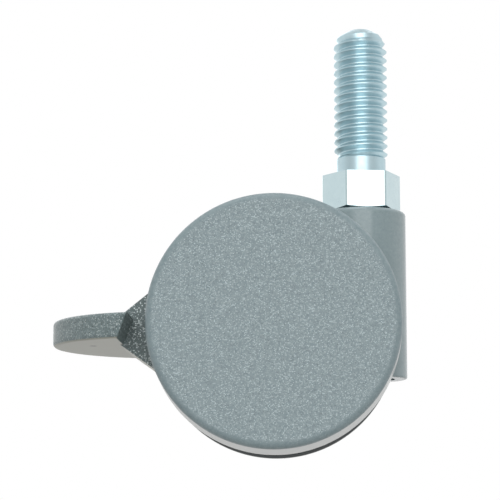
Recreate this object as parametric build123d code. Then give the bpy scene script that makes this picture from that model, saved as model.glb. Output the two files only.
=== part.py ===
from build123d import *
import math
import os

# Swivel castor: twin wheels, threaded stem with a hexagon collar, and a foot brake lever.
# Frame: origin on the swivel axis at the seating face of the hexagon, +Z up,
# the wheels trail towards -X, the axle lies along Y. Left is +Y, right is -Y.

# ---- driving dimensions, millimetres ----

# Threaded stem, 7/16-14 UNC with a 9/16 inch hexagon.
THREAD_MAJOR_D = 11.1
STEM_LENGTH = 30.7
NECK_D = 10.1
NECK_LENGTH = 3.4
THREAD_RUNOUT = 0.3
TIP_LENGTH = 2.7
TIP_D = 10.0
TIP_FLAT_D = 4.6
TIP_ANGLE = 30
TIP_ROUND = 1.2
HEX_ACROSS_FLATS = 14.1
HEX_HEIGHT = 7.5
HEX_CORNER_ROUND = 0.6
HEX_CHAMFER_ANGLE = 15
HEX_CHAMFER_START = 0.15
HEX_TURN = 6.5
JOURNAL_D = 8.0
JOURNAL_LENGTH = 30.4
STEM_GROOVE_D = 6.6
STEM_GROOVE_WIDTH = 1.0
JOURNAL_CHAMFER = 0.5

# Swivel housing.
HOUSING_D = 18.0
HOUSING_TOP_Z = -7.75
HOUSING_BOTTOM_Z = -42.0
HOUSING_TOP_ROUND = 0.9
HOUSING_BOTTOM_ROUND = 0.4
BUSH_D = 10.6
UPPER_BUSH_LENGTH = 7.0
LOWER_BUSH_LENGTH = 8.0
BUSH_SHOULDER_Z = -33.8
COUNTERBORE_D = 13.0
PLUG_THICKNESS = 1.5
PLUG_INSET = 0.3

# Washers and ring on the stem.
THRUST_WASHER_D = 13.0
THRUST_WASHER_THICKNESS = 0.76
STEM_WASHER_D = 12.2
STEM_WASHER_THICKNESS = 0.7
RING_D = 10.8
RING_MOUTH = 5.0

# Axle.
AXLE_X = -17.75
AXLE_Z = -32.35
AXLE_D = 6.35
AXLE_CHAMFER = 0.4
AXLE_GROOVE_D = 5.2
AXLE_GROOVE_WIDTH = 0.8
AXLE_RING_D = 10.4
AXLE_RING_MOUTH = 4.0

# Wheels.
TREAD_D = 50.6
TREAD_THICKNESS = 2.8
TREAD_EDGE = 0.5
TREAD_DRAFT = 0.55
CAP_THICKNESS = 1.6
CAP_EDGE = 1.45
CASTOR_WIDTH = 50.0
WHEEL_GAP = 18.8
RIM_THICKNESS = 2.0
HUB_D = 13.0
WHEEL_BUSH_D = 9.5
WHEEL_BUSH_START = 9.45
WHEEL_WEB_THICKNESS = 2.0
CLIP_POCKET_D = 11.8
CLIP_POCKET_DEPTH = 1.5
RIB_COUNT = 6
RIB_THICKNESS = 1.6
RIB_START = 16.0
RIB_ROOT = 0.5
PEG_COUNT = 3
PEG_CIRCLE_D = 28.0
PEG_D = 3.0

# Lock teeth inside each rim.
TOOTH_COUNT = 24
TOOTH_DEPTH = 1.6
TOOTH_TIP_WIDTH = 1.6
TOOTH_ROOT_WIDTH = 2.5
TOOTH_START = 9.6
TOOTH_END = 14.6

# Housing web between the wheels.
WEB_WIDTH = 12.0
WEB_POCKET_DEPTH = 3.6
WEB_POCKET_INNER_D = 17.0
WEB_POCKET_RIM = 3.7
GUIDE_WIDTH = 8.0
GUIDE_OVERHANG = 6.0
LINK_TOP_DROP = 3.0
LINK_BOTTOM_RISE = 1.0
LINK_LENGTH = 5.0
LINK_TOUCH_ANGLE = 290
LINK_ROOT = 0.4

# Brake lever and its lock pin.
LOCK_TRAVEL = 1.5
BRAKE_ANGLE = 18
LOCK_PIN_D = 3.0
LOCK_PIN_LENGTH = 27.2
LOCK_PIN_ANGLE = 112
CHEEK_INNER_Y = 6.05
CHEEK_OUTER_Y = 8.95
CHEEK_START_ANGLE = 84
CHEEK_END_ANGLE = 231
DRUM_STEP = 3.2
DRUM_START_ANGLE = 132
DRUM_THICKNESS = 1.25
EYE_D = 15.0
NECK_HALF_WIDTH = 8.7
NECK_ROOT = 0.3
NECK_TOP_ANGLE = 39.0
NECK_TOP_DROP = 0.6
NECK_BOTTOM_ANGLE = 35.5
NECK_BOTTOM_DROP = 1.5
PEDAL_TOP_Z = 1.82
PEDAL_BOTTOM_Z = -3.25
PEDAL_LENGTH = 17.0
PEDAL_SIDE_INSET = 2.0
PEDAL_OVERRUN = 5.0
PEDAL_HEEL_GAP = 3.05
PEDAL_HEEL_LEAN = 2.0
PEDAL_EDGE = 0.8

# Drag strip that holds the lever by friction.
STRIP_THICKNESS = 0.5
STRIP_SEAT_DEPTH = 0.4
STRIP_START_ANGLE = 162
STRIP_END_ANGLE = 198
STRIP_WIDTH = 8.0

# Clearances.
RUNNING = 0.05
SIDE_PLAY = 0.05
CAM_PLAY = 0.07
WASHER_PLAY = 0.02
AXLE_END_GAP = 0.3
DRUM_PLAY = 0.15
TOOTH_PLAY = 0.2

# ---- radii about the axle that several pieces share ----

tread_r = TREAD_D / 2
cap_r = tread_r - TREAD_DRAFT
rim_r = tread_r - TREAD_THICKNESS
rim_inner_r = rim_r - RIM_THICKNESS
tooth_tip_r = rim_inner_r - TOOTH_DEPTH
pin_r = LOCK_PIN_D / 2
released_r = tooth_tip_r - TOOTH_PLAY - pin_r
drum_r = tread_r - DRUM_STEP
drum_inner_r = drum_r - DRUM_THICKNESS
web_r = drum_inner_r - DRUM_PLAY

os.makedirs("parts", exist_ok=True)
parts = {}


# ---- helpers ----


def turned(points):
    """A solid of revolution about Z from (radius, z) points."""
    face = make_face(Plane.XZ * Polyline(*[(r, z) for r, z in points], close=True))
    return revolve(face, Axis.Z)


def tube(outer_d, inner_d, z_low, z_high):
    """A plain ring about Z."""
    ring = Circle(outer_d / 2) - Circle(inner_d / 2) if inner_d else Circle(outer_d / 2)
    return extrude(Plane.XY.offset(z_low) * ring, z_high - z_low)


def slab(sketch, y_low, y_high):
    """A sketch seen from the right side, centred on the axle, with thickness from y_low to y_high."""
    plane = Plane(origin=(AXLE_X, y_high, AXLE_Z), x_dir=(1, 0, 0), z_dir=(0, -1, 0))
    return extrude(plane * sketch, y_high - y_low)


def turned_on_axle(outline):
    """A solid of revolution about the axle from an outline in (distance along Y, radius)."""
    plane = Plane(origin=(AXLE_X, 0, AXLE_Z), x_dir=(0, 1, 0), z_dir=(1, 0, 0))
    return revolve(plane * make_face(outline), Axis((AXLE_X, 0, AXLE_Z), (0, 1, 0)))


def polar(radius, degrees):
    """A point on the axle's side view, degrees counted from +X towards +Z."""
    return (radius * math.cos(math.radians(degrees)), radius * math.sin(math.radians(degrees)))


def sector(outer_r, inner_r, start, end):
    """A ring sector on the axle's side view."""
    steps = 24
    angles = [start + (end - start) * i / steps for i in range(steps + 1)]
    wide = [polar(outer_r * 1.6, a) for a in angles]
    wedge = make_face(Polyline((0, 0), *wide, close=True))
    ring = Circle(outer_r) - Circle(inner_r) if inner_r else Circle(outer_r)
    return ring & wedge


def other_side(piece):
    """The same piece on the left wheel."""
    return mirror(piece, Plane.XZ)


def write(name, piece):
    solids = piece.solids()
    piece = solids[0] if len(solids) == 1 else piece
    piece.label = name
    parts[name] = piece
    export_step(piece, f"parts/{name}.step")


# ---- threaded stem: shank, neck, hexagon and journal in one piece ----

thread_r = THREAD_MAJOR_D / 2
journal_r = JOURNAL_D / 2
hex_bottom_z = -HEX_HEIGHT
journal_end_z = hex_bottom_z - JOURNAL_LENGTH
washer_top_z = BUSH_SHOULDER_Z - SIDE_PLAY
ring_top_z = washer_top_z - STEM_WASHER_THICKNESS - SIDE_PLAY
ring_bottom_z = ring_top_z - STEM_GROOVE_WIDTH

tip_r = TIP_D / 2
tip_flat_r = TIP_FLAT_D / 2
thread_end_z = STEM_LENGTH - TIP_LENGTH
tip_corner_z = STEM_LENGTH - (tip_r - tip_flat_r) * math.tan(math.radians(TIP_ANGLE))
shank = turned(
    [
        (0, 0),
        (NECK_D / 2, 0),
        (NECK_D / 2, NECK_LENGTH),
        (thread_r, NECK_LENGTH + THREAD_RUNOUT),
        (thread_r, thread_end_z),
        (tip_r, thread_end_z + THREAD_RUNOUT),
        (tip_r, tip_corner_z),
        (tip_flat_r, STEM_LENGTH),
        (0, STEM_LENGTH),
    ]
)
tip_corner = shank.edges().filter_by_position(Axis.Z, tip_corner_z - 0.01, tip_corner_z + 0.01)
shank = fillet(tip_corner.filter_by(GeomType.CIRCLE), TIP_ROUND)
hex_r = HEX_ACROSS_FLATS / math.sqrt(3)
hex_blank = Plane.XY.offset(hex_bottom_z) * RegularPolygon(hex_r, 6)
hexagon = Rot(0, 0, HEX_TURN) * extrude(hex_blank, HEX_HEIGHT)
hexagon = fillet(hexagon.edges().filter_by(Axis.Z), HEX_CORNER_ROUND)
chamfer_r = HEX_ACROSS_FLATS / 2 - HEX_CHAMFER_START
chamfer_drop = (hex_r - chamfer_r) * math.tan(math.radians(HEX_CHAMFER_ANGLE))
hexagon &= turned(
    [
        (0, hex_bottom_z),
        (chamfer_r, hex_bottom_z),
        (hex_r, hex_bottom_z + chamfer_drop),
        (hex_r, 0),
        (0, 0),
    ]
)
groove_r = STEM_GROOVE_D / 2
journal = turned(
    [
        (0, hex_bottom_z),
        (journal_r, hex_bottom_z),
        (journal_r, ring_top_z),
        (groove_r, ring_top_z),
        (groove_r, ring_bottom_z),
        (journal_r, ring_bottom_z),
        (journal_r, journal_end_z + JOURNAL_CHAMFER),
        (journal_r - JOURNAL_CHAMFER, journal_end_z),
        (0, journal_end_z),
    ]
)
write("threaded_stem", shank + hexagon + journal)

# ---- washers, bushes and ring on the stem ----

stem_bore_d = JOURNAL_D + 2 * RUNNING
thrust_high_z = hex_bottom_z - WASHER_PLAY
thrust_low_z = thrust_high_z - THRUST_WASHER_THICKNESS
recess_z = thrust_low_z - WASHER_PLAY
write("thrust_washer", tube(THRUST_WASHER_D, stem_bore_d, thrust_low_z, thrust_high_z))
write("upper_swivel_bush", tube(BUSH_D, stem_bore_d, recess_z - UPPER_BUSH_LENGTH, recess_z))
write(
    "lower_swivel_bush",
    tube(BUSH_D, stem_bore_d, BUSH_SHOULDER_Z, BUSH_SHOULDER_Z + LOWER_BUSH_LENGTH),
)
write(
    "stem_washer",
    tube(STEM_WASHER_D, stem_bore_d, washer_top_z - STEM_WASHER_THICKNESS, washer_top_z),
)
ring_mouth = Pos(RING_D / 2, 0, (ring_top_z + ring_bottom_z) / 2) * Box(RING_D, RING_MOUTH, 3)
write("stem_retaining_ring", tube(RING_D, STEM_GROOVE_D, ring_bottom_z, ring_top_z) - ring_mouth)

# ---- swivel housing: upright barrel, web to the axle and guide for the lock pin ----

barrel_r = HOUSING_D / 2
barrel = Pos(0, 0, HOUSING_BOTTOM_Z) * extrude(Circle(barrel_r), HOUSING_TOP_Z - HOUSING_BOTTOM_Z)
barrel = fillet(barrel.faces().sort_by(Axis.Z)[-1].edges(), HOUSING_TOP_ROUND)
barrel = fillet(barrel.faces().sort_by(Axis.Z)[0].edges(), HOUSING_BOTTOM_ROUND)
half_web = WEB_WIDTH / 2
barrel_from_axle = -AXLE_X
link_top = HOUSING_TOP_Z - AXLE_Z - LINK_TOP_DROP
link_bottom = HOUSING_BOTTOM_Z - AXLE_Z + LINK_BOTTOM_RISE
link_start = barrel_from_axle - LINK_LENGTH
link = make_face(
    Polyline(
        (0, web_r - LINK_ROOT),
        (link_start, link_top),
        (barrel_from_axle, link_top),
        (barrel_from_axle, link_bottom),
        (link_start, link_bottom),
        polar(web_r - LINK_ROOT, LINK_TOUCH_ANGLE),
        (0, 0),
        close=True,
    )
)
guide_length = released_r + GUIDE_OVERHANG - GUIDE_WIDTH / 2
guide_bar = Rot(0, 0, LOCK_PIN_ANGLE) * (
    Pos(guide_length / 2, 0) * Rectangle(guide_length, GUIDE_WIDTH)
    + Pos(guide_length, 0) * Circle(GUIDE_WIDTH / 2)
)
web = slab(Circle(web_r) + link + guide_bar, -half_web, half_web)
pocket = sector(web_r - WEB_POCKET_RIM, WEB_POCKET_INNER_D / 2, LOCK_PIN_ANGLE + 26, 288)
web -= slab(pocket, half_web - WEB_POCKET_DEPTH, half_web)
web -= slab(pocket, -half_web, -half_web + WEB_POCKET_DEPTH)
strip_seat_r = web_r - STRIP_SEAT_DEPTH
strip_seat = sector(web_r + 1, strip_seat_r, STRIP_START_ANGLE, STRIP_END_ANGLE)
web -= slab(strip_seat, -STRIP_WIDTH / 2, STRIP_WIDTH / 2)

slot_r = pin_r + RUNNING
guide_slot_length = LOCK_TRAVEL + 2 * CAM_PLAY
guide_slot_mid = released_r + LOCK_TRAVEL / 2
guide_slot = Rot(0, 0, LOCK_PIN_ANGLE) * (
    Pos(guide_slot_mid, 0) * SlotCenterToCenter(guide_slot_length, 2 * slot_r)
)
housing = barrel + web
housing -= slab(guide_slot, -half_web, half_web)
housing -= slab(Circle(AXLE_D / 2), -half_web, half_web)
housing -= tube(THRUST_WASHER_D + 2 * RUNNING, 0, recess_z, HOUSING_TOP_Z)
housing -= tube(BUSH_D, 0, BUSH_SHOULDER_Z, recess_z)
housing -= tube(COUNTERBORE_D, 0, HOUSING_BOTTOM_Z, BUSH_SHOULDER_Z)
write("swivel_housing", housing)

plug_low_z = HOUSING_BOTTOM_Z + PLUG_INSET
write("bottom_plug", tube(COUNTERBORE_D, 0, plug_low_z, plug_low_z + PLUG_THICKNESS))

strip = sector(strip_seat_r + STRIP_THICKNESS, strip_seat_r, STRIP_START_ANGLE, STRIP_END_ANGLE)
write("drag_strip", slab(strip, -STRIP_WIDTH / 2, STRIP_WIDTH / 2))

# ---- axle with a ring groove near each end ----

cap_y = CASTOR_WIDTH / 2 - CAP_THICKNESS
pocket_y = cap_y - CLIP_POCKET_DEPTH
axle_r = AXLE_D / 2
half_axle = cap_y - AXLE_END_GAP
groove_start = pocket_y + SIDE_PLAY
groove_end = groove_start + AXLE_GROOVE_WIDTH
axle = slab(Circle(axle_r), -half_axle, half_axle)
axle = chamfer(axle.edges().filter_by(GeomType.CIRCLE), AXLE_CHAMFER)
axle_groove = slab(Circle(axle_r) - Circle(AXLE_GROOVE_D / 2), groove_start, groove_end)
axle -= axle_groove
axle -= other_side(axle_groove)
write("axle", axle)

axle_ring_face = Circle(AXLE_RING_D / 2) - Circle(AXLE_GROOVE_D / 2)
axle_ring_face -= Pos(0, -AXLE_RING_D / 2) * Rectangle(AXLE_RING_MOUTH, AXLE_RING_D)
axle_ring = slab(axle_ring_face, -groove_end, -groove_start)
write("axle_ring_right", axle_ring)
write("axle_ring_left", other_side(axle_ring))

# ---- wheels: core with lock teeth, bush, tread and cap ----

inner_y = WHEEL_GAP / 2
web_y = cap_y - WHEEL_WEB_THICKNESS


def tooth(angle):
    tip = TOOTH_TIP_WIDTH / 2
    root = TOOTH_ROOT_WIDTH / 2
    outline = Polyline(
        (tooth_tip_r, -tip),
        (rim_inner_r, -root),
        (rim_inner_r + 0.6, -root),
        (rim_inner_r + 0.6, root),
        (rim_inner_r, root),
        (tooth_tip_r, tip),
        close=True,
    )
    return Rot(0, 0, angle) * make_face(outline)


core = slab(Circle(rim_r) - Circle(rim_inner_r), -cap_y, -inner_y)
core += slab(Circle(rim_r), -cap_y, -web_y)
core += slab(Circle(HUB_D / 2), -web_y, -WHEEL_BUSH_START)
rib_length = rim_inner_r - HUB_D / 2 + 2 * RIB_ROOT
rib = Pos(HUB_D / 2 - RIB_ROOT + rib_length / 2, 0) * Rectangle(rib_length, RIB_THICKNESS)
for i in range(RIB_COUNT):
    core += slab(Rot(0, 0, i * 360 / RIB_COUNT) * rib, -web_y, -RIB_START)
tooth_pitch = 360 / TOOTH_COUNT
for i in range(TOOTH_COUNT):
    core += slab(tooth(LOCK_PIN_ANGLE + (i + 0.5) * tooth_pitch), -TOOTH_END, -TOOTH_START)
core -= slab(Circle(WHEEL_BUSH_D / 2), -cap_y, -WHEEL_BUSH_START)
core -= slab(Circle(CLIP_POCKET_D / 2), -cap_y, -pocket_y)
peg_spots = [Pos(*polar(PEG_CIRCLE_D / 2, 90 + i * 360 / PEG_COUNT)) for i in range(PEG_COUNT)]
for spot in peg_spots:
    core -= slab(spot * Circle(PEG_D / 2 + RUNNING), -cap_y, -web_y)
write("wheel_core_right", core)
write("wheel_core_left", other_side(core))

bush = slab(Circle(WHEEL_BUSH_D / 2) - Circle(axle_r + RUNNING), -pocket_y, -WHEEL_BUSH_START)
write("wheel_bush_right", bush)
write("wheel_bush_left", other_side(bush))

# The tread tapers from its inner edge to the rim of the cap.
tread_corners = [(-cap_y, cap_r), (-cap_y, rim_r), (-inner_y, rim_r), (-inner_y, tread_r)]
tread = turned_on_axle(Polyline(*tread_corners, close=True))
inner_rim = tread.faces().sort_by(Axis.Y)[-1].edges().sort_by(SortBy.RADIUS)[-1]
tread = fillet(inner_rim, TREAD_EDGE)
write("tread_right", tread)
write("tread_left", other_side(tread))

cap = slab(Circle(cap_r), -CASTOR_WIDTH / 2, -cap_y)
cap_rim = cap.faces().sort_by(Axis.Y)[0].edges()
cap = fillet(cap_rim, CAP_EDGE)
for spot in peg_spots:
    cap += slab(spot * Circle(PEG_D / 2), -cap_y, -web_y)
write("wheel_cap_right", cap)
write("wheel_cap_left", other_side(cap))

spacer_high_y = WHEEL_BUSH_START - SIDE_PLAY
spacer = slab(
    Circle(HUB_D / 2 - 0.5) - Circle(axle_r + RUNNING),
    -spacer_high_y,
    -CHEEK_OUTER_Y - SIDE_PLAY,
)
write("spacer_washer_right", spacer)
write("spacer_washer_left", other_side(spacer))

# ---- brake lever: cheeks on the axle, drum round the web, neck and pedal ----

cheek = Circle(EYE_D / 2) + sector(drum_r, 0, CHEEK_START_ANGLE, CHEEK_END_ANGLE)
cheek -= Circle(axle_r + RUNNING)

# The cam slot drives the pin outwards by LOCK_TRAVEL while the lever turns through BRAKE_ANGLE.
cam_r = pin_r + CAM_PLAY
cam_steps = 12
cam_over = 0.5
cam_angles = [
    -cam_over + (BRAKE_ANGLE + 2 * cam_over) * i / cam_steps for i in range(cam_steps + 1)
]
cam_path = [
    polar(released_r + LOCK_TRAVEL * a / BRAKE_ANGLE, LOCK_PIN_ANGLE - a) for a in cam_angles
]
cam_outer = []
cam_inner = []
for a in cam_angles:
    path_r = released_r + LOCK_TRAVEL * a / BRAKE_ANGLE
    lean = math.degrees(math.atan2(LOCK_TRAVEL / math.radians(BRAKE_ANGLE), path_r))
    x, z = polar(path_r, LOCK_PIN_ANGLE - a)
    dx, dz = polar(cam_r, LOCK_PIN_ANGLE - a + lean)
    cam_outer.append((x + dx, z + dz))
    cam_inner.append((x - dx, z - dz))
cam_slot = make_face(Polyline(*cam_outer, *reversed(cam_inner), close=True))
cam_slot += Pos(*cam_path[0]) * Circle(cam_r)
cam_slot += Pos(*cam_path[-1]) * Circle(cam_r)
cheek -= cam_slot

lever = slab(cheek, CHEEK_INNER_Y, CHEEK_OUTER_Y)
lever += slab(cheek, -CHEEK_OUTER_Y, -CHEEK_INNER_Y)
drum = sector(drum_r, drum_inner_r, DRUM_START_ANGLE, CHEEK_END_ANGLE)
lever += slab(drum, -CHEEK_OUTER_Y, CHEEK_OUTER_Y)

# The neck's top and bottom faces run down from the drum to the pedal. Each lies square to a spoke
# from the axle, at its own reach along that spoke.
top_spoke = 90 + NECK_TOP_ANGLE
bottom_spoke = 270 - NECK_BOTTOM_ANGLE
top_reach = drum_r - NECK_TOP_DROP
bottom_reach = drum_r - NECK_BOTTOM_DROP
heel_top_x = -tread_r - PEDAL_HEEL_GAP
heel_bottom_x = heel_top_x - PEDAL_HEEL_LEAN
tip_x = heel_top_x - PEDAL_LENGTH
neck_end_x = heel_bottom_x - PEDAL_OVERRUN


def along_face(reach, spoke, z):
    """The point at height z on the neck face that is square to the spoke at this reach."""
    nx, nz = polar(1, spoke)
    return ((reach - nz * z) / nx, z)


neck_face = make_face(
    Polyline(
        polar(top_reach, top_spoke),
        along_face(top_reach, top_spoke, PEDAL_TOP_Z),
        (neck_end_x, PEDAL_TOP_Z),
        (neck_end_x, PEDAL_BOTTOM_Z),
        along_face(bottom_reach, bottom_spoke, PEDAL_BOTTOM_Z),
        polar(bottom_reach, bottom_spoke),
        (0, 0),
        close=True,
    )
)
neck = slab(neck_face - Circle(drum_inner_r + NECK_ROOT), -NECK_HALF_WIDTH, NECK_HALF_WIDTH)

# From above the pedal is part of a disc that passes through its tip and the two ends of its heel.
heel_half = CASTOR_WIDTH / 2 - PEDAL_SIDE_INSET
pedal_r = (PEDAL_LENGTH**2 + heel_half**2) / (2 * PEDAL_LENGTH)
plan_length = PEDAL_LENGTH + PEDAL_OVERRUN
plan = Pos(tip_x + pedal_r, 0) * Circle(pedal_r)
plan &= Pos(tip_x + plan_length / 2, 0) * Rectangle(plan_length, 2 * pedal_r)
pedal_plane = Plane(origin=(AXLE_X, 0, AXLE_Z + PEDAL_BOTTOM_Z), x_dir=(1, 0, 0), z_dir=(0, 0, 1))
pedal = extrude(pedal_plane * plan, PEDAL_TOP_Z - PEDAL_BOTTOM_Z)
heel = make_face(
    Polyline(
        (heel_top_x, PEDAL_TOP_Z + 0.01),
        (heel_bottom_x, PEDAL_BOTTOM_Z - 0.01),
        (0, PEDAL_BOTTOM_Z - 0.01),
        (0, PEDAL_TOP_Z + 0.01),
        close=True,
    )
)
pedal -= slab(heel, -pedal_r, pedal_r)
pedal_rim = pedal.faces().sort_by(Axis.Z)[-1].edges() + pedal.faces().sort_by(Axis.Z)[0].edges()
pedal = fillet(pedal_rim.filter_by(GeomType.CIRCLE), PEDAL_EDGE)
lever += neck
lever += pedal
write("brake_lever", lever)

lock_pin = slab(
    Pos(*polar(released_r, LOCK_PIN_ANGLE)) * Circle(pin_r),
    -LOCK_PIN_LENGTH / 2,
    LOCK_PIN_LENGTH / 2,
)
lock_pin = chamfer(lock_pin.edges().filter_by(GeomType.CIRCLE), 0.3)
write("lock_pin", lock_pin)

for name, piece in parts.items():
    print(name, len(piece.solids()), round(piece.volume, 1))
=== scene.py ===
# %% [markdown]
# # A swivel castor with a foot brake lever
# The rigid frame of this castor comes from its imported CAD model. Every piece is already in place there,
# in metres, with +Z up, the stem on the Z axis and the axle along Y. This script gives the pieces their
# finishes, winds the real thread, and sets the light and the camera.

import math

import bmesh
import bpy
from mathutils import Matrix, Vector


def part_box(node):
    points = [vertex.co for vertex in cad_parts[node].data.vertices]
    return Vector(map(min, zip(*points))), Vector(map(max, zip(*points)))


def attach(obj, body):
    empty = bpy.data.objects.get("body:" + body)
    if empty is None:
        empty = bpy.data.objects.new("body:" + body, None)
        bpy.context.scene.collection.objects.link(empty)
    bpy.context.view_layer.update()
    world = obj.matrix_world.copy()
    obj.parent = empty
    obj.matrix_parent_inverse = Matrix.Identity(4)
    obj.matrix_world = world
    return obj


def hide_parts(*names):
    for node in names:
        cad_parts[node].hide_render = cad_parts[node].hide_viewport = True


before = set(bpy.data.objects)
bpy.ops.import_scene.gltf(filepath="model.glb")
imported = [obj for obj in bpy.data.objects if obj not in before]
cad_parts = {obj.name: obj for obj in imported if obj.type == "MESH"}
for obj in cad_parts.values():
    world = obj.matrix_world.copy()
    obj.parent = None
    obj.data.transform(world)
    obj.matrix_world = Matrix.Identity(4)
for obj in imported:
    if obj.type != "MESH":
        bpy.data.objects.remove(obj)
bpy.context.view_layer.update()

# %% [markdown]
# Sizes are written in millimetres, as a workshop drawing has them, and turned to metres at the last
# moment. Places that the CAD model already holds are read from it, so the two can't drift apart.

# %% Units and places
MM = 0.001
axle_low, axle_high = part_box("axle")
axle_middle = (Vector(axle_low) + Vector(axle_high)) / 2
stem_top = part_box("threaded_stem")[1][2]
print("axle at", [round(c / MM, 2) for c in axle_middle], "mm; stem tip at", round(stem_top / MM, 2), "mm")

# %% [markdown]
# ## Colour and node helpers
# Colours are chosen as the hex values that a paint program shows. A shader works in linear light, so one
# function converts them. A second one adds a node with its settings, values and links in one call, which
# keeps the recipes below short enough to read. A Mix node has one set of sockets for numbers and another
# for colours, under the same names, so they are told apart by their place in its list.

# %% Helpers for finishes
FACTOR = 0
NUMBER_A, NUMBER_B, NUMBER_RESULT = 2, 3, 0
COLOUR_A, COLOUR_B, COLOUR_RESULT = 6, 7, 2


def linear(hex_colour):
    """An sRGB hex colour as linear RGBA."""
    channels = [int(hex_colour[i : i + 2], 16) / 255 for i in (1, 3, 5)]
    return [c / 12.92 if c <= 0.04045 else ((c + 0.055) / 1.055) ** 2.4 for c in channels] + [1.0]


def add_node(tree, kind, settings=None, values=None, links=None):
    """A node with its settings, its unlinked socket values and its links from other nodes' outputs."""
    node = tree.nodes.new(kind)
    for name, value in (settings or {}).items():
        setattr(node, name, value)
    for socket, value in (values or {}).items():
        node.inputs[socket].default_value = value
    for socket, source in (links or {}).items():
        tree.links.new(source, node.inputs[socket])
    return node


def new_finish(name):
    """An empty material: itself, its node tree, its Object coordinates and its shader."""
    finish = bpy.data.materials.new(name)
    finish.use_nodes = True
    tree = finish.node_tree
    shader = tree.nodes["Principled BSDF"]
    place = tree.nodes.new("ShaderNodeTexCoord").outputs["Object"]
    return finish, tree, place, shader


def per_metre(size_mm):
    """The texture scale at which one cell of a pattern is size_mm wide."""
    return 1 / (size_mm * MM)


print("sRGB #808080 is", round(linear("#808080")[0], 3), "in linear light")

# %% [markdown]
# ## Speckled moulded nylon
# The discs and the lever are grey nylon with fine metallic flecks stirred in before moulding. The flecks
# lie at random depths, so a few are bright and most are only a shade lighter than the plastic. A Voronoi
# texture gives one spot to each cell, and the cell's random colour says how strong its spot is and
# whether it is a light fleck or a dark pit. That looks more natural than a single threshold.

# %% Flecks and pits
SPOT_EDGE, SPOT_CORE = 0.62, 0.22  # distances from the cell's centre, in cells
PIT_OR_FLECK = 0.35  # cells with a lower random value hold a pit, the others a fleck


def flecks_and_pits(tree, place, spacing_mm, fleck_strength, pit_strength):
    """How much fleck and how much pit each point shows. Each cell of the spacing's width holds one."""
    cells = add_node(
        tree,
        "ShaderNodeTexVoronoi",
        values={"Scale": per_metre(spacing_mm), "Randomness": 1.0},
        links={"Vector": place},
    )
    spot = add_node(
        tree,
        "ShaderNodeMapRange",
        settings={"interpolation_type": "SMOOTHSTEP"},
        values={"From Min": SPOT_EDGE, "From Max": SPOT_CORE},
        links={"Value": cells.outputs["Distance"]},
    )
    cell_colour = add_node(tree, "ShaderNodeSeparateColor", links={"Color": cells.outputs["Color"]})
    fleck_share = add_node(
        tree,
        "ShaderNodeMapRange",
        settings={"name": "fleck share"},
        values={"From Min": PIT_OR_FLECK, "From Max": 1.0, "To Max": fleck_strength},
        links={"Value": cell_colour.outputs["Red"]},
    )
    pit_share = add_node(
        tree,
        "ShaderNodeMapRange",
        values={"From Min": PIT_OR_FLECK, "From Max": 0.0, "To Max": pit_strength},
        links={"Value": cell_colour.outputs["Red"]},
    )
    fleck_spot = add_node(
        tree,
        "ShaderNodeMath",
        settings={"operation": "MULTIPLY"},
        links={0: spot.outputs["Result"], 1: fleck_share.outputs["Result"]},
    )
    pit_spot = add_node(
        tree,
        "ShaderNodeMath",
        settings={"operation": "MULTIPLY"},
        links={0: spot.outputs["Result"], 1: pit_share.outputs["Result"]},
    )
    return fleck_spot.outputs["Value"], pit_spot.outputs["Value"]


print("cells under", PIT_OR_FLECK, "hold a pit, the others a fleck")

# %% [markdown]
# A cloudy noise mottles the plastic under the flecks, and its fine detail gives the bump the mould's faint
# grain. Three colour layers lie over each other: the mottled body, then the pits, then the flecks. Their
# nodes are named, so that a piece with several skins can still change them.

# %% Speckled nylon
NYLON_IOR = 1.53
PIT_COLOUR = "#262C2E"
MOTTLE_MM = 0.8
MOTTLE_LOW, MOTTLE_HIGH = 0.35, 0.65  # the part of the noise's range that goes from shade to plastic
MOULD_GRAIN_MM = 0.03


def speckled_nylon(name, plastic, shade, fleck, spacing_mm, fleck_strength, pit_strength, roughness):
    """Grey nylon with flecks, in two near tones of plastic."""
    finish, tree, place, shader = new_finish(name)
    fleck_amount, pit_amount = flecks_and_pits(tree, place, spacing_mm, fleck_strength, pit_strength)
    mottle = add_node(
        tree,
        "ShaderNodeTexNoise",
        values={"Scale": per_metre(MOTTLE_MM), "Detail": 4.0, "Roughness": 0.75},
        links={"Vector": place},
    )
    mottle_range = add_node(
        tree,
        "ShaderNodeMapRange",
        values={"From Min": MOTTLE_LOW, "From Max": MOTTLE_HIGH},
        links={"Value": mottle.outputs["Fac"]},
    )
    body = add_node(
        tree,
        "ShaderNodeMix",
        settings={"data_type": "RGBA", "name": "body"},
        values={COLOUR_A: linear(shade), COLOUR_B: linear(plastic)},
        links={FACTOR: mottle_range.outputs["Result"]},
    )
    pitted = add_node(
        tree,
        "ShaderNodeMix",
        settings={"data_type": "RGBA", "name": "pitted"},
        values={COLOUR_B: linear(PIT_COLOUR)},
        links={FACTOR: pit_amount, COLOUR_A: body.outputs[COLOUR_RESULT]},
    )
    flecked = add_node(
        tree,
        "ShaderNodeMix",
        settings={"data_type": "RGBA", "name": "flecked"},
        values={COLOUR_B: linear(fleck)},
        links={FACTOR: fleck_amount, COLOUR_A: pitted.outputs[COLOUR_RESULT]},
    )
    grain = add_node(
        tree,
        "ShaderNodeBump",
        values={"Strength": 0.12, "Distance": MOULD_GRAIN_MM * MM},
        links={"Height": mottle.outputs["Fac"]},
    )
    tree.links.new(flecked.outputs[COLOUR_RESULT], shader.inputs["Base Color"])
    tree.links.new(grain.outputs["Normal"], shader.inputs["Normal"])
    shader.inputs["Roughness"].default_value = roughness
    shader.inputs["IOR"].default_value = NYLON_IOR
    return finish


print("mottle", MOTTLE_MM, "mm wide, mould grain", MOULD_GRAIN_MM, "mm deep")

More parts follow.
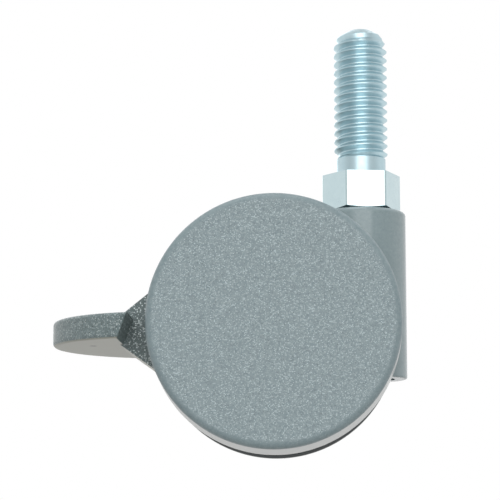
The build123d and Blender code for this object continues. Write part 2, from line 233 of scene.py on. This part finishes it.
# %% The discs', the lever's and the housing's plastic
# Greenish-blue grey with dense silvery flecks: reads as stone-like engineering plastic.
disc_finish = speckled_nylon(
    "speckled_nylon_disc",
    plastic="#90A0A4",
    shade="#7F9196",
    fleck="#D4E4E8",
    spacing_mm=0.24,
    fleck_strength=0.85,
    pit_strength=0.42,
    roughness=0.42,
)
# The same plastic on the lever, with coarser flecks and pits, is painted darker:
# painted shade for the weaker light that falls on it.
lever_finish = speckled_nylon(
    "speckled_nylon_lever",
    plastic="#7C8C8E",
    shade="#6A797A",
    fleck="#E6F1F1",
    spacing_mm=0.31,
    fleck_strength=0.95,
    pit_strength=0.65,
    roughness=0.42,
)
# The housing is polished in its mould, so its flecks hardly show and its edges shine.
housing_finish = speckled_nylon(
    "satin_nylon_housing",
    plastic="#94A5A8",
    shade="#8C9DA1",
    fleck="#A9B8BC",
    spacing_mm=0.36,
    fleck_strength=0.2,
    pit_strength=0.08,
    roughness=0.2,
)
print("speckled finishes:", disc_finish.name, lever_finish.name, housing_finish.name)

# %% [markdown]
# The lever shows three surfaces. The pedal's edge has faint flecks. The neck has painted shade: it is
# darker, for the shade between the wheels, and its flecks are brighter. The undersides have no flecks and
# are
# painted a lighter, warmer grey: painted light, for the light that reaches them from below. The direction a
# face looks in tells an underside, and the place along X tells the neck from the pedal. A small round mark
# shows where an ejector pin pushed the pedal out of the mould.

# %% The lever's neck
NECK_START = 28.6  # from the axle, towards the pedal
NECK_BLEND = 2.0
# Painted shade: the neck's colour is darkened for the shade between the wheels.
NECK_SHADE_COLOUR = "#566869"
PEDAL_FLECKS, NECK_FLECKS = 0.55, 1.3
neck_x = axle_middle.x - NECK_START * MM
lever_tree = lever_finish.node_tree
lever_place = add_node(lever_tree, "ShaderNodeTexCoord")
along = add_node(lever_tree, "ShaderNodeSeparateXYZ", links={0: lever_place.outputs["Object"]})
on_neck = add_node(
    lever_tree,
    "ShaderNodeMapRange",
    values={"From Min": neck_x - NECK_BLEND * MM, "From Max": neck_x},
    links={"Value": along.outputs["X"]},
)
fleck_brightness = add_node(
    lever_tree,
    "ShaderNodeMapRange",
    values={"To Min": PEDAL_FLECKS, "To Max": NECK_FLECKS},
    links={"Value": on_neck.outputs["Result"]},
)
# The neck's painted shade replaces the mottled body colour there.
neck_painted_shade = add_node(
    lever_tree,
    "ShaderNodeMix",
    settings={"data_type": "RGBA"},
    values={COLOUR_B: linear(NECK_SHADE_COLOUR)},
    links={FACTOR: on_neck.outputs["Result"], COLOUR_A: lever_tree.nodes["body"].outputs[COLOUR_RESULT]},
)
lever_tree.links.new(fleck_brightness.outputs["Result"], lever_tree.nodes["fleck share"].inputs["To Max"])
lever_tree.links.new(neck_painted_shade.outputs[COLOUR_RESULT], lever_tree.nodes["pitted"].inputs[COLOUR_A])
print("the lever's neck starts at x", round(neck_x / MM, 2), "mm")

# %% The lever's undersides: painted light and no flecks
UNDERSIDE_START, UNDERSIDE_FULL = -0.55, -0.8  # Z of the face's normal
# Painted light: the undersides are painted a lighter, warmer grey for the light that reaches them from
# below.
UNDERSIDE_PAINTED_LIGHT = "#A9AA9E"
MARK_COLOUR = "#211F1B"
MARK_FROM_AXLE = Vector((-36.6, -6.2, -3.25))
MARK_RADIUS = 0.9
MARK_CORE = 0.6  # share of the radius that is fully dark
mark_spot = axle_middle + MARK_FROM_AXLE * MM
facing = add_node(lever_tree, "ShaderNodeSeparateXYZ", links={0: lever_place.outputs["Normal"]})
underside = add_node(
    lever_tree,
    "ShaderNodeMapRange",
    settings={"interpolation_type": "SMOOTHSTEP"},
    values={"From Min": UNDERSIDE_START, "From Max": UNDERSIDE_FULL},
    links={"Value": facing.outputs["Z"]},
)
from_mark = add_node(
    lever_tree,
    "ShaderNodeVectorMath",
    settings={"operation": "DISTANCE"},
    values={1: mark_spot},
    links={0: lever_place.outputs["Object"]},
)
mark = add_node(
    lever_tree,
    "ShaderNodeMapRange",
    settings={"interpolation_type": "SMOOTHSTEP"},
    values={"From Min": MARK_RADIUS * MM, "From Max": MARK_CORE * MARK_RADIUS * MM},
    links={"Value": from_mark.outputs["Value"]},
)
# The undersides' painted light, with the real ejector mark on it.
underside_light_and_mark = add_node(
    lever_tree,
    "ShaderNodeMix",
    settings={"data_type": "RGBA"},
    values={COLOUR_A: linear(UNDERSIDE_PAINTED_LIGHT), COLOUR_B: linear(MARK_COLOUR)},
    links={FACTOR: mark.outputs["Result"]},
)
lever_colour = add_node(
    lever_tree,
    "ShaderNodeMix",
    settings={"data_type": "RGBA"},
    links={
        FACTOR: underside.outputs["Result"],
        COLOUR_A: lever_tree.nodes["flecked"].outputs[COLOUR_RESULT],
        COLOUR_B: underside_light_and_mark.outputs[COLOUR_RESULT],
    },
)
lever_shader = lever_tree.nodes["Principled BSDF"]
lever_tree.links.new(lever_colour.outputs[COLOUR_RESULT], lever_shader.inputs["Base Color"])
print("ejector mark at", [round(c / MM, 1) for c in mark_spot], "mm")

# %% [markdown]
# The rounded rims of the discs are polished, so the flecks there lie under a clear skin and hardly show.
# The distance from the axle's line tells the rim from the flat face: it is the length of the way from the
# axle's middle, once its part along Y is set to zero.

# %% The discs' smooth rims
RIM_START = 23.2
RIM_FADE = 0.5
RIM_FLECKS = 0.15
disc_tree = disc_finish.node_tree
disc_place = add_node(disc_tree, "ShaderNodeTexCoord")
from_axle = add_node(
    disc_tree,
    "ShaderNodeVectorMath",
    settings={"operation": "SUBTRACT"},
    values={1: axle_middle},
    links={0: disc_place.outputs["Object"]},
)
across = add_node(
    disc_tree,
    "ShaderNodeVectorMath",
    settings={"operation": "MULTIPLY"},
    values={1: (1, 0, 1)},
    links={0: from_axle.outputs["Vector"]},
)
reach = add_node(
    disc_tree,
    "ShaderNodeVectorMath",
    settings={"operation": "LENGTH"},
    links={0: across.outputs["Vector"]},
)
on_face = add_node(
    disc_tree,
    "ShaderNodeMapRange",
    values={
        "From Min": RIM_START * MM,
        "From Max": (RIM_START + RIM_FADE) * MM,
        "To Min": 1.0,
        "To Max": RIM_FLECKS,
    },
    links={"Value": reach.outputs["Value"]},
)
for layer in ("pitted", "flecked"):
    share = disc_tree.nodes[layer].inputs[FACTOR]
    faded = add_node(
        disc_tree,
        "ShaderNodeMath",
        settings={"operation": "MULTIPLY"},
        links={0: share.links[0].from_socket, 1: on_face.outputs["Result"]},
    )
    disc_tree.links.new(faded.outputs["Value"], share)
print("disc flecks fade from", RIM_START, "mm off the axle's line")

# %% [markdown]
# ## Metals
# The stem, the axle and the washers are turned from steel and plated with bright zinc, then passivated in
# a clear bath that leaves a cold blue tint. A metal has no colour but that of its reflections, so the
# base colour is a light grey with a little blue, and a low roughness that varies in soft patches makes it
# look plated and not chromed. The spring rings and the bronze bushes are made the same way, with duller
# colours.

# %% Metals
PATCH_LOW, PATCH_HIGH = 0.3, 0.7  # the part of the noise's range that goes from smooth to rough


def plain_metal(name, colour, dull_colour, patch_mm, smoothest, roughest):
    """A metal whose colour and roughness vary together in soft patches."""
    finish, tree, place, shader = new_finish(name)
    patches = add_node(
        tree,
        "ShaderNodeTexNoise",
        values={"Scale": per_metre(patch_mm), "Detail": 3.0, "Roughness": 0.6},
        links={"Vector": place},
    )
    tone = add_node(
        tree,
        "ShaderNodeMix",
        settings={"data_type": "RGBA"},
        values={COLOUR_A: linear(colour), COLOUR_B: linear(dull_colour)},
        links={FACTOR: patches.outputs["Fac"]},
    )
    gloss = add_node(
        tree,
        "ShaderNodeMapRange",
        values={
            "From Min": PATCH_LOW,
            "From Max": PATCH_HIGH,
            "To Min": smoothest,
            "To Max": roughest,
        },
        links={"Value": patches.outputs["Fac"]},
    )
    tree.links.new(tone.outputs[COLOUR_RESULT], shader.inputs["Base Color"])
    tree.links.new(gloss.outputs["Result"], shader.inputs["Roughness"])
    shader.inputs["Metallic"].default_value = 1.0
    return finish


# Cold, bright and slightly milky: fresh zinc plate.
zinc_finish = plain_metal(
    "bright_zinc_plate", "#C9DBDE", "#BED2D7", patch_mm=2.5, smoothest=0.18, roughest=0.28
)
# The rolled thread and neck scatter more: the same plate over a drawn surface, a little bluer.
thread_finish = plain_metal(
    "zinc_plate_on_rolled_thread", "#C2D8DE", "#B2CBD3", patch_mm=1.5, smoothest=0.34, roughest=0.42
)
# Dark blue-grey: hardened spring steel, blued in the oven.
spring_finish = plain_metal(
    "blued_spring_steel", "#4A5058", "#3A3F46", patch_mm=1.2, smoothest=0.3, roughest=0.42
)
# Dull gold: sintered bronze, full of oil.
bronze_finish = plain_metal(
    "sintered_bronze", "#A98451", "#8E6D41", patch_mm=0.4, smoothest=0.38, roughest=0.5
)
print("metals:", zinc_finish.name, thread_finish.name, spring_finish.name, bronze_finish.name)

# %% [markdown]
# ## Tread rubber and inner nylon
# The treads are non-marking grey rubber, a little lighter than the discs and without their blue. The
# mould leaves a skin with a soft sheen and a fine bloom. The wheel cores inside are plain dark nylon,
# with only a faint grain.

# %% Rubber and core plastic
RUBBER_IOR = 1.52
SKIN_GRAIN_MM = 0.02


def plain_moulding(name, colour, dark_colour, patch_mm, roughness, ior):
    """A plain moulded surface: two near tones in soft patches, and a fine grain in the bump."""
    finish, tree, place, shader = new_finish(name)
    bloom = add_node(
        tree,
        "ShaderNodeTexNoise",
        values={"Scale": per_metre(patch_mm), "Detail": 5.0, "Roughness": 0.65},
        links={"Vector": place},
    )
    tone = add_node(
        tree,
        "ShaderNodeMix",
        settings={"data_type": "RGBA"},
        values={COLOUR_A: linear(dark_colour), COLOUR_B: linear(colour)},
        links={FACTOR: bloom.outputs["Fac"]},
    )
    grain = add_node(
        tree,
        "ShaderNodeBump",
        values={"Strength": 0.1, "Distance": SKIN_GRAIN_MM * MM},
        links={"Height": bloom.outputs["Fac"]},
    )
    tree.links.new(tone.outputs[COLOUR_RESULT], shader.inputs["Base Color"])
    tree.links.new(grain.outputs["Normal"], shader.inputs["Normal"])
    shader.inputs["Roughness"].default_value = roughness
    shader.inputs["IOR"].default_value = ior
    return finish


# Light grey with a soft sheen: non-marking tread rubber.
tread_finish = plain_moulding(
    "grey_tread_rubber", "#B0B5B4", "#A5AAA9", patch_mm=1.4, roughness=0.28, ior=RUBBER_IOR
)
# Near black: the load-bearing nylon, mostly hidden behind the discs.
core_finish = plain_moulding(
    "dark_core_nylon", "#3B3E40", "#2F3234", patch_mm=1.8, roughness=0.45, ior=NYLON_IOR
)
print("mouldings:", tread_finish.name, core_finish.name)

# %% [markdown]
# Each tread's inner side faces the gap between the wheels, where shade falls. That side is painted much
# darker than the running surface: painted shade. The distance from the middle plane tells that side.

# %% The treads' inner sides, painted dark for the shade in the gap
INNER_SIDE_SHADE = "#3A4042"
INNER_SIDE_FULL, INNER_SIDE_END = 0.1, 0.5  # how deep the painted shade reaches into the tread
inner_side = abs(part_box("tread_right")[1][1])
tread_tree = tread_finish.node_tree
tread_shader = tread_tree.nodes["Principled BSDF"]
tread_place = add_node(tread_tree, "ShaderNodeTexCoord")
tread_across = add_node(tread_tree, "ShaderNodeSeparateXYZ", links={0: tread_place.outputs["Object"]})
from_middle = add_node(
    tread_tree,
    "ShaderNodeMath",
    settings={"operation": "ABSOLUTE"},
    links={0: tread_across.outputs["Y"]},
)
inner_side_shade = add_node(
    tread_tree,
    "ShaderNodeMapRange",
    values={
        "From Min": inner_side + INNER_SIDE_END * MM,
        "From Max": inner_side + INNER_SIDE_FULL * MM,
    },
    links={"Value": from_middle.outputs["Value"]},
)
running_colour = tread_shader.inputs["Base Color"].links[0].from_socket
# Painted shade on the inner side, mixed over the running surface's colour.
tread_colour = add_node(
    tread_tree,
    "ShaderNodeMix",
    settings={"data_type": "RGBA"},
    values={COLOUR_B: linear(INNER_SIDE_SHADE)},
    links={FACTOR: inner_side_shade.outputs["Result"], COLOUR_A: running_colour},
)
tread_tree.links.new(tread_colour.outputs[COLOUR_RESULT], tread_shader.inputs["Base Color"])
print("tread inner side at", round(inner_side / MM, 2), "mm from the middle")

# %% [markdown]
# ## Finishes on the CAD pieces
# Each CAD piece keeps its own shape and gets the finish of its real material. The table names every
# piece, so a new piece without a finish is easy to see.

# %% Give each CAD piece its finish
finish_of = {
    "threaded_stem": zinc_finish,
    "thrust_washer": zinc_finish,
    "stem_washer": zinc_finish,
    "stem_retaining_ring": spring_finish,
    "upper_swivel_bush": bronze_finish,
    "lower_swivel_bush": bronze_finish,
    "swivel_housing": housing_finish,
    "bottom_plug": housing_finish,
    "drag_strip": spring_finish,
    "axle": zinc_finish,
    "axle_ring_right": spring_finish,
    "axle_ring_left": spring_finish,
    "spacer_washer_right": zinc_finish,
    "spacer_washer_left": zinc_finish,
    "wheel_core_right": core_finish,
    "wheel_core_left": core_finish,
    "wheel_bush_right": bronze_finish,
    "wheel_bush_left": bronze_finish,
    "tread_right": tread_finish,
    "tread_left": tread_finish,
    "wheel_cap_right": disc_finish,
    "wheel_cap_left": disc_finish,
    "brake_lever": lever_finish,
    "lock_pin": zinc_finish,
}
for node_name, finish in finish_of.items():
    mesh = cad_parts[node_name].data
    mesh.materials.clear()
    mesh.materials.append(finish)
print("pieces without a finish:", sorted(set(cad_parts) - set(finish_of)))

# %% [markdown]
# ## The threaded stem
# A real screw thread is one ridge that winds round the shank and climbs by one pitch each turn. The CAD
# shank is plain, so this piece replaces it. The spin operator can climb as it turns, so one tooth
# profile, spun with a small rise at each step, gives the whole helix, and neighbouring turns share their
# edges. The profile is close to the sixty-degree one of inch threads, with a narrow flat on the crest and
# another at the root, but its flanks slope a little more gently, for the softer look of a plated ridge. The
# neck, the hexagon and the journal are kept from a copy of the CAD piece, cut off just above the neck.

# %% Sizes of the thread
INCH = 25.4
THREADS_PER_INCH = 14
THREAD_PITCH = INCH / THREADS_PER_INCH
CREST_RADIUS = 5.5
ROOT_RADIUS = 4.6
CREST_FLAT = THREAD_PITCH / 8
ROOT_FLAT = THREAD_PITCH / 8
NECK_TOP = 3.4
STEPS_PER_TURN = 60
tip_top = stem_top / MM
turns = math.ceil((tip_top - NECK_TOP) / THREAD_PITCH) + 2  # one to spare at each end
flank_rise = (THREAD_PITCH - CREST_FLAT - ROOT_FLAT) / 2
print("pitch", round(THREAD_PITCH, 3), "mm,", turns, "turns, each flank", round(flank_rise, 3), "mm high")

# %% Spin the helix
SAME_POINT = 0.0005 * MM
helix = bmesh.new()
tooth_profile = [
    (ROOT_RADIUS, 0.0),
    (ROOT_RADIUS, ROOT_FLAT),
    (CREST_RADIUS, ROOT_FLAT + flank_rise),
    (CREST_RADIUS, ROOT_FLAT + flank_rise + CREST_FLAT),
    (ROOT_RADIUS, THREAD_PITCH),
]
first_turn = NECK_TOP - THREAD_PITCH
profile_verts = [helix.verts.new((r * MM, 0, (first_turn + z) * MM)) for r, z in tooth_profile]
profile_edges = [helix.edges.new(pair) for pair in zip(profile_verts, profile_verts[1:])]
bmesh.ops.spin(
    helix,
    geom=profile_verts + profile_edges,
    cent=(0, 0, 0),
    axis=(0, 0, 1),
    dvec=(0, 0, THREAD_PITCH * MM / STEPS_PER_TURN),
    angle=math.tau * turns,
    steps=STEPS_PER_TURN * turns,
    use_merge=False,
    use_duplicate=False,
)
bmesh.ops.remove_doubles(helix, verts=helix.verts, dist=SAME_POINT)
print("helix faces:", len(helix.faces))

# %% [markdown]
# A screw blank is turned first: a cylinder with a chamfered tip. The rolling dies then raise the ridge only
# where the blank is wide enough, so it fades out on the chamfer and at the neck. The same happens here:
# each point of the helix is drawn in to the blank's radius at its height. Two planes cut the ends level,
# and each open end is filled.

# %% The turned blank
FADE_IN_SLOPE = 0.9  # how fast the ridge grows out of the root above the neck
FADE_OUT_SLOPE = 1.2  # how fast it sinks towards the tip
TIP_LENGTH = 2.7  # from the tip down to where the ridge has sunk to the tip's radius
TIP_RADIUS = 5.0
TIP_FLAT_RADIUS = 2.3
TIP_SLOPE = math.tan(math.radians(30))  # the chamfer's rise over its run
TIP_ROUND = 1.2  # radius of the rounding between the chamfer and the side


def blank_radius(z):
    """The turned blank's radius in millimetres at a height in millimetres."""
    below_tip = tip_top - z
    fade_in = ROOT_RADIUS + max(0.0, z - NECK_TOP) * FADE_IN_SLOPE
    fade_out = TIP_RADIUS + max(0.0, below_tip - TIP_LENGTH) * FADE_OUT_SLOPE
    round_start = (TIP_RADIUS - TIP_FLAT_RADIUS + TIP_ROUND) * TIP_SLOPE
    if below_tip < round_start:
        into_round = min(round_start - below_tip, TIP_ROUND)
        rounded = TIP_RADIUS - TIP_ROUND + math.sqrt(TIP_ROUND**2 - into_round**2)
        fade_out = min(rounded, TIP_FLAT_RADIUS + below_tip / TIP_SLOPE)
    return min(CREST_RADIUS, fade_in, fade_out)


print("blank radius at the neck", blank_radius(NECK_TOP), "mm and at the tip", blank_radius(tip_top), "mm")

# %% Trim the helix to the blank
ON_PLANE = 0.0001 * MM
TIP_TRIM = 0.02  # the upper cut lies this far below the CAD piece's tip
for vert in helix.verts:
    radius = math.hypot(vert.co.x, vert.co.y)
    shrink = min(1.0, blank_radius(vert.co.z / MM) * MM / radius)
    vert.co.x *= shrink
    vert.co.y *= shrink
for height, cut_away in ((NECK_TOP, -1), (tip_top - TIP_TRIM, 1)):
    bmesh.ops.bisect_plane(
        helix,
        geom=helix.verts[:] + helix.edges[:] + helix.faces[:],
        dist=ON_PLANE,
        plane_co=(0, 0, height * MM),
        plane_no=(0, 0, cut_away),
        clear_outer=True,
    )
bmesh.ops.holes_fill(helix, edges=[edge for edge in helix.edges if edge.is_boundary], sides=0)
still_open = sum(edge.is_boundary for edge in helix.edges)
print("trimmed helix:", len(helix.faces), "faces,", still_open, "open edges")

# %% Keep the neck, hexagon and journal from the CAD piece
SAME_PLANE = math.radians(0.05)
collar = bmesh.new()
collar.from_mesh(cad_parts["threaded_stem"].data)
bmesh.ops.remove_doubles(collar, verts=collar.verts, dist=SAME_POINT)
bmesh.ops.bisect_plane(
    collar,
    geom=collar.verts[:] + collar.edges[:] + collar.faces[:],
    dist=ON_PLANE,
    plane_co=(0, 0, NECK_TOP * MM),
    plane_no=(0, 0, 1),
    clear_outer=True,
)
bmesh.ops.holes_fill(collar, edges=[edge for edge in collar.edges if edge.is_boundary], sides=0)
bmesh.ops.dissolve_limit(collar, angle_limit=SAME_PLANE, verts=collar.verts, edges=collar.edges)
print("collar faces:", len(collar.faces))

# %% [markdown]
# The two halves become one piece. The copy from the CAD model still carries that model's stored normals,
# which no longer fit its merged faces and would shade the hexagon wrongly, so they are deleted. The new
# normals then come from the shape: the hexagon's six sides are shaded flat and everything else smooth, with
# a sharp edge wherever the surface turns by more than the facets of a round one do.

# %% Join them as one piece
collar_mesh = bpy.data.meshes.new("stem_collar")
collar.to_mesh(collar_mesh)
collar_mesh.attributes.remove(collar_mesh.attributes["custom_normal"])
helix.from_mesh(collar_mesh)
bmesh.ops.recalc_face_normals(helix, faces=helix.faces)
stem_mesh = bpy.data.meshes.new("stem_with_thread")
helix.to_mesh(stem_mesh)
collar.free()
helix.free()
bpy.data.meshes.remove(collar_mesh)
stem = bpy.data.objects.new("stem_with_thread", stem_mesh)
bpy.context.collection.objects.link(stem)
print("stem faces:", len(stem_mesh.polygons))

# %% Finish and shade the stem
JUST_ABOVE_HEXAGON = 0.05 * MM
UPRIGHT = 0.01  # largest Z of an upright face's normal
HEXAGON_SIDE_AREA = 35 * MM**2  # smaller than a side, larger than any other upright face
SHARP_ANGLE = math.radians(22)
stem_mesh.materials.append(zinc_finish)
stem_mesh.materials.append(thread_finish)
hexagon_sides = 0
for face in stem_mesh.polygons:
    face.material_index = int(face.center.z > JUST_ABOVE_HEXAGON)
    hexagon_side = abs(face.normal.z) < UPRIGHT and face.area > HEXAGON_SIDE_AREA
    face.use_smooth = not hexagon_side
    hexagon_sides += hexagon_side
stem_mesh.set_sharp_from_angle(angle=SHARP_ANGLE)
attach(stem, "stem")
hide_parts("threaded_stem")
print("flat hexagon sides:", hexagon_sides)

# %% [markdown]
# ## The studio
# The castor is shown by itself in white air, so the floor lies well below it. The floor is a large pale
# disc. It looks nearly white to the camera and in reflections, but the paint under that glow is a middle
# grey, so it keeps the castor's soft shadow and throws little light up at the undersides.

# %% Floor
FLOOR_DROP = 0.30
FLOOR_RADIUS = 2.5
floor_mesh = bmesh.new()
bmesh.ops.create_circle(floor_mesh, cap_ends=True, radius=FLOOR_RADIUS, segments=64)
bmesh.ops.translate(floor_mesh, verts=floor_mesh.verts, vec=(0, 0, -FLOOR_DROP))
floor_data = bpy.data.meshes.new("studio_floor")
floor_mesh.to_mesh(floor_data)
floor_mesh.free()
floor = bpy.data.objects.new("studio_floor", floor_data)
bpy.context.collection.objects.link(floor)
print("floor at", round(-FLOOR_DROP / MM), "mm")

# %% Pale floor paint that keeps a soft shadow
FLOOR_PAINT = "#858583"
FLOOR_GLOW = 0.85
floor_paint = bpy.data.materials.new("pale_floor_paint")
floor_paint.use_nodes = True
floor_tree = floor_paint.node_tree
floor_shader = floor_tree.nodes["Principled BSDF"]
floor_shader.inputs["Base Color"].default_value = linear(FLOOR_PAINT)
floor_shader.inputs["Roughness"].default_value = 0.8
floor_rays = add_node(floor_tree, "ShaderNodeLightPath")
seen_or_mirrored = add_node(
    floor_tree,
    "ShaderNodeMath",
    settings={"operation": "MAXIMUM"},
    links={0: floor_rays.outputs["Is Camera Ray"], 1: floor_rays.outputs["Is Glossy Ray"]},
)
floor_lift = add_node(
    floor_tree,
    "ShaderNodeMath",
    settings={"operation": "MULTIPLY"},
    values={1: FLOOR_GLOW},
    links={0: seen_or_mirrored.outputs["Value"]},
)
floor_glow = add_node(floor_tree, "ShaderNodeEmission", links={"Strength": floor_lift.outputs["Value"]})
floor_mix = add_node(
    floor_tree,
    "ShaderNodeAddShader",
    links={0: floor_shader.outputs["BSDF"], 1: floor_glow.outputs["Emission"]},
)
floor_tree.links.new(floor_mix.outputs["Shader"], floor_tree.nodes["Material Output"].inputs["Surface"])
floor_data.materials.append(floor_paint)
print("floor paint", FLOOR_PAINT, "with a glow of", FLOOR_GLOW)

# %% [markdown]
# The surroundings are white to the camera, which the Light Path node tells from other rays. What the
# plated steel mirrors is white at the sides and behind, a little dimmer in front, where the camera
# stands, and grey overhead and underfoot, as in a light tent with its openings. That draws the darker
# lines along the thread. Matt surfaces get only about half as much light from the tent, so the lamps still
# shape them.

# %% What the tent shows in reflections
MIRRORED_FRONT = 0.7
MIRRORED_OVERHEAD = 0.45
FRONT_FULL, FRONT_END = -0.45, 0.1  # Y of the direction that a ray leaves in
OVERHEAD_START, OVERHEAD_FULL = 0.75, 0.98  # its steepness: 0 is level, 1 is straight up or down
world = bpy.data.worlds.new("light_tent")
bpy.context.scene.world = world
world.use_nodes = True
tent = world.node_tree
tent_background = tent.nodes["Background"]
direction = add_node(tent, "ShaderNodeTexCoord")
heading = add_node(tent, "ShaderNodeSeparateXYZ", links={0: direction.outputs["Generated"]})
steepness = add_node(
    tent,
    "ShaderNodeMath",
    settings={"operation": "ABSOLUTE"},
    links={0: heading.outputs["Z"]},
)
open_front = add_node(
    tent,
    "ShaderNodeMapRange",
    settings={"interpolation_type": "SMOOTHSTEP"},
    values={
        "From Min": FRONT_FULL,
        "From Max": FRONT_END,
        "To Min": MIRRORED_FRONT,
        "To Max": 1.0,
    },
    links={"Value": heading.outputs["Y"]},
)
open_top = add_node(
    tent,
    "ShaderNodeMapRange",
    settings={"interpolation_type": "SMOOTHSTEP"},
    values={
        "From Min": OVERHEAD_START,
        "From Max": OVERHEAD_FULL,
        "To Min": 1.0,
        "To Max": MIRRORED_OVERHEAD,
    },
    links={"Value": steepness.outputs["Value"]},
)
mirrored = add_node(
    tent,
    "ShaderNodeMath",
    settings={"operation": "MULTIPLY"},
    links={0: open_front.outputs["Result"], 1: open_top.outputs["Result"]},
)
print("mirrored front", MIRRORED_FRONT, "and overhead", MIRRORED_OVERHEAD)

# %% Which rays see what
ROOM_LIGHT = 0.55
rays = add_node(tent, "ShaderNodeLightPath")
glossy_or_through = add_node(
    tent,
    "ShaderNodeMath",
    settings={"operation": "MAXIMUM"},
    links={0: rays.outputs["Is Glossy Ray"], 1: rays.outputs["Is Transmission Ray"]},
)
lit_or_mirrored = add_node(
    tent,
    "ShaderNodeMix",
    values={NUMBER_A: ROOM_LIGHT},
    links={FACTOR: glossy_or_through.outputs["Value"], NUMBER_B: mirrored.outputs["Value"]},
)
seen = add_node(
    tent,
    "ShaderNodeMix",
    values={NUMBER_B: 1.0},
    links={FACTOR: rays.outputs["Is Camera Ray"], NUMBER_A: lit_or_mirrored.outputs[NUMBER_RESULT]},
)
tent.links.new(seen.outputs[NUMBER_RESULT], tent_background.inputs["Strength"])
tent_background.inputs["Color"].default_value = (1, 1, 1, 1)
print("light on matt surfaces", ROOM_LIGHT)

# %% [markdown]
# ## Lamps
# One broad soft lamp stands near the camera and lights the discs squarely. A second, above, keeps the
# tops of the pieces lighter than their undersides. A third on the stem's side draws a light edge down the
# housing. It is hidden from reflections, where it would put a hard bright patch on the hexagon. A fourth
# behind keeps the far disc from going dull when the castor is seen from the back.

# %% Lamps


def outward(azimuth, elevation):
    """The way out from the castor, for angles in degrees. Azimuth 0 is in front, on -Y, and 90 is on +X."""
    turn = math.radians(azimuth)
    rise = math.radians(elevation)
    return Vector((math.sin(turn) * math.cos(rise), -math.cos(turn) * math.cos(rise), math.sin(rise)))


def soft_lamp(name, azimuth, elevation, distance, size, power):
    """A square soft lamp that faces the axle's middle."""
    away = outward(azimuth, elevation)
    lamp_data = bpy.data.lights.new(name, "AREA")
    lamp_data.size = size
    lamp_data.energy = power
    lamp = bpy.data.objects.new(name, lamp_data)
    bpy.context.collection.objects.link(lamp)
    lamp.location = axle_middle + away * distance
    lamp.rotation_euler = (-away).to_track_quat("-Z", "Y").to_euler()
    return lamp


front_lamp = soft_lamp("front_softbox", azimuth=3, elevation=10, distance=0.9, size=0.75, power=3.2)
top_lamp = soft_lamp("top_softbox", azimuth=-20, elevation=75, distance=0.8, size=0.5, power=1.6)
side_lamp = soft_lamp("stem_side_softbox", azimuth=120, elevation=5, distance=0.8, size=0.45, power=1.1)
side_lamp.visible_glossy = False
back_lamp = soft_lamp("back_softbox", azimuth=190, elevation=20, distance=0.9, size=0.6, power=1.6)
for lamp in (front_lamp, top_lamp, side_lamp, back_lamp):
    print(lamp.name, lamp.data.energy, "W")

# %% [markdown]
# ## Camera
# The camera stands low, a little to the stem's side, and looks up at the castor from below the axle. A long
# lens keeps the disc nearly round and still shows a little of the treads below it.

# %% Camera
CAMERA_AZIMUTH = 1.7
CAMERA_ELEVATION = -8.4
CAMERA_DISTANCE = 0.386
CAMERA_LENS = 135.1
SENSOR_WIDTH = 36
AIM_FROM_AXLE = Vector((-5.22, 0, 17.07))
camera_data = bpy.data.cameras.new("camera")
camera_data.lens = CAMERA_LENS
camera_data.sensor_width = SENSOR_WIDTH
camera = bpy.data.objects.new("camera", camera_data)
bpy.context.collection.objects.link(camera)
toward_camera = outward(CAMERA_AZIMUTH, CAMERA_ELEVATION)
camera.location = AIM_FROM_AXLE * MM + axle_middle + toward_camera * CAMERA_DISTANCE
camera.rotation_euler = (-toward_camera).to_track_quat("-Z", "Y").to_euler()
bpy.context.scene.camera = camera
bpy.context.scene.view_settings.view_transform = "Standard"
print("camera at", [round(c / MM, 1) for c in camera.location], "mm")
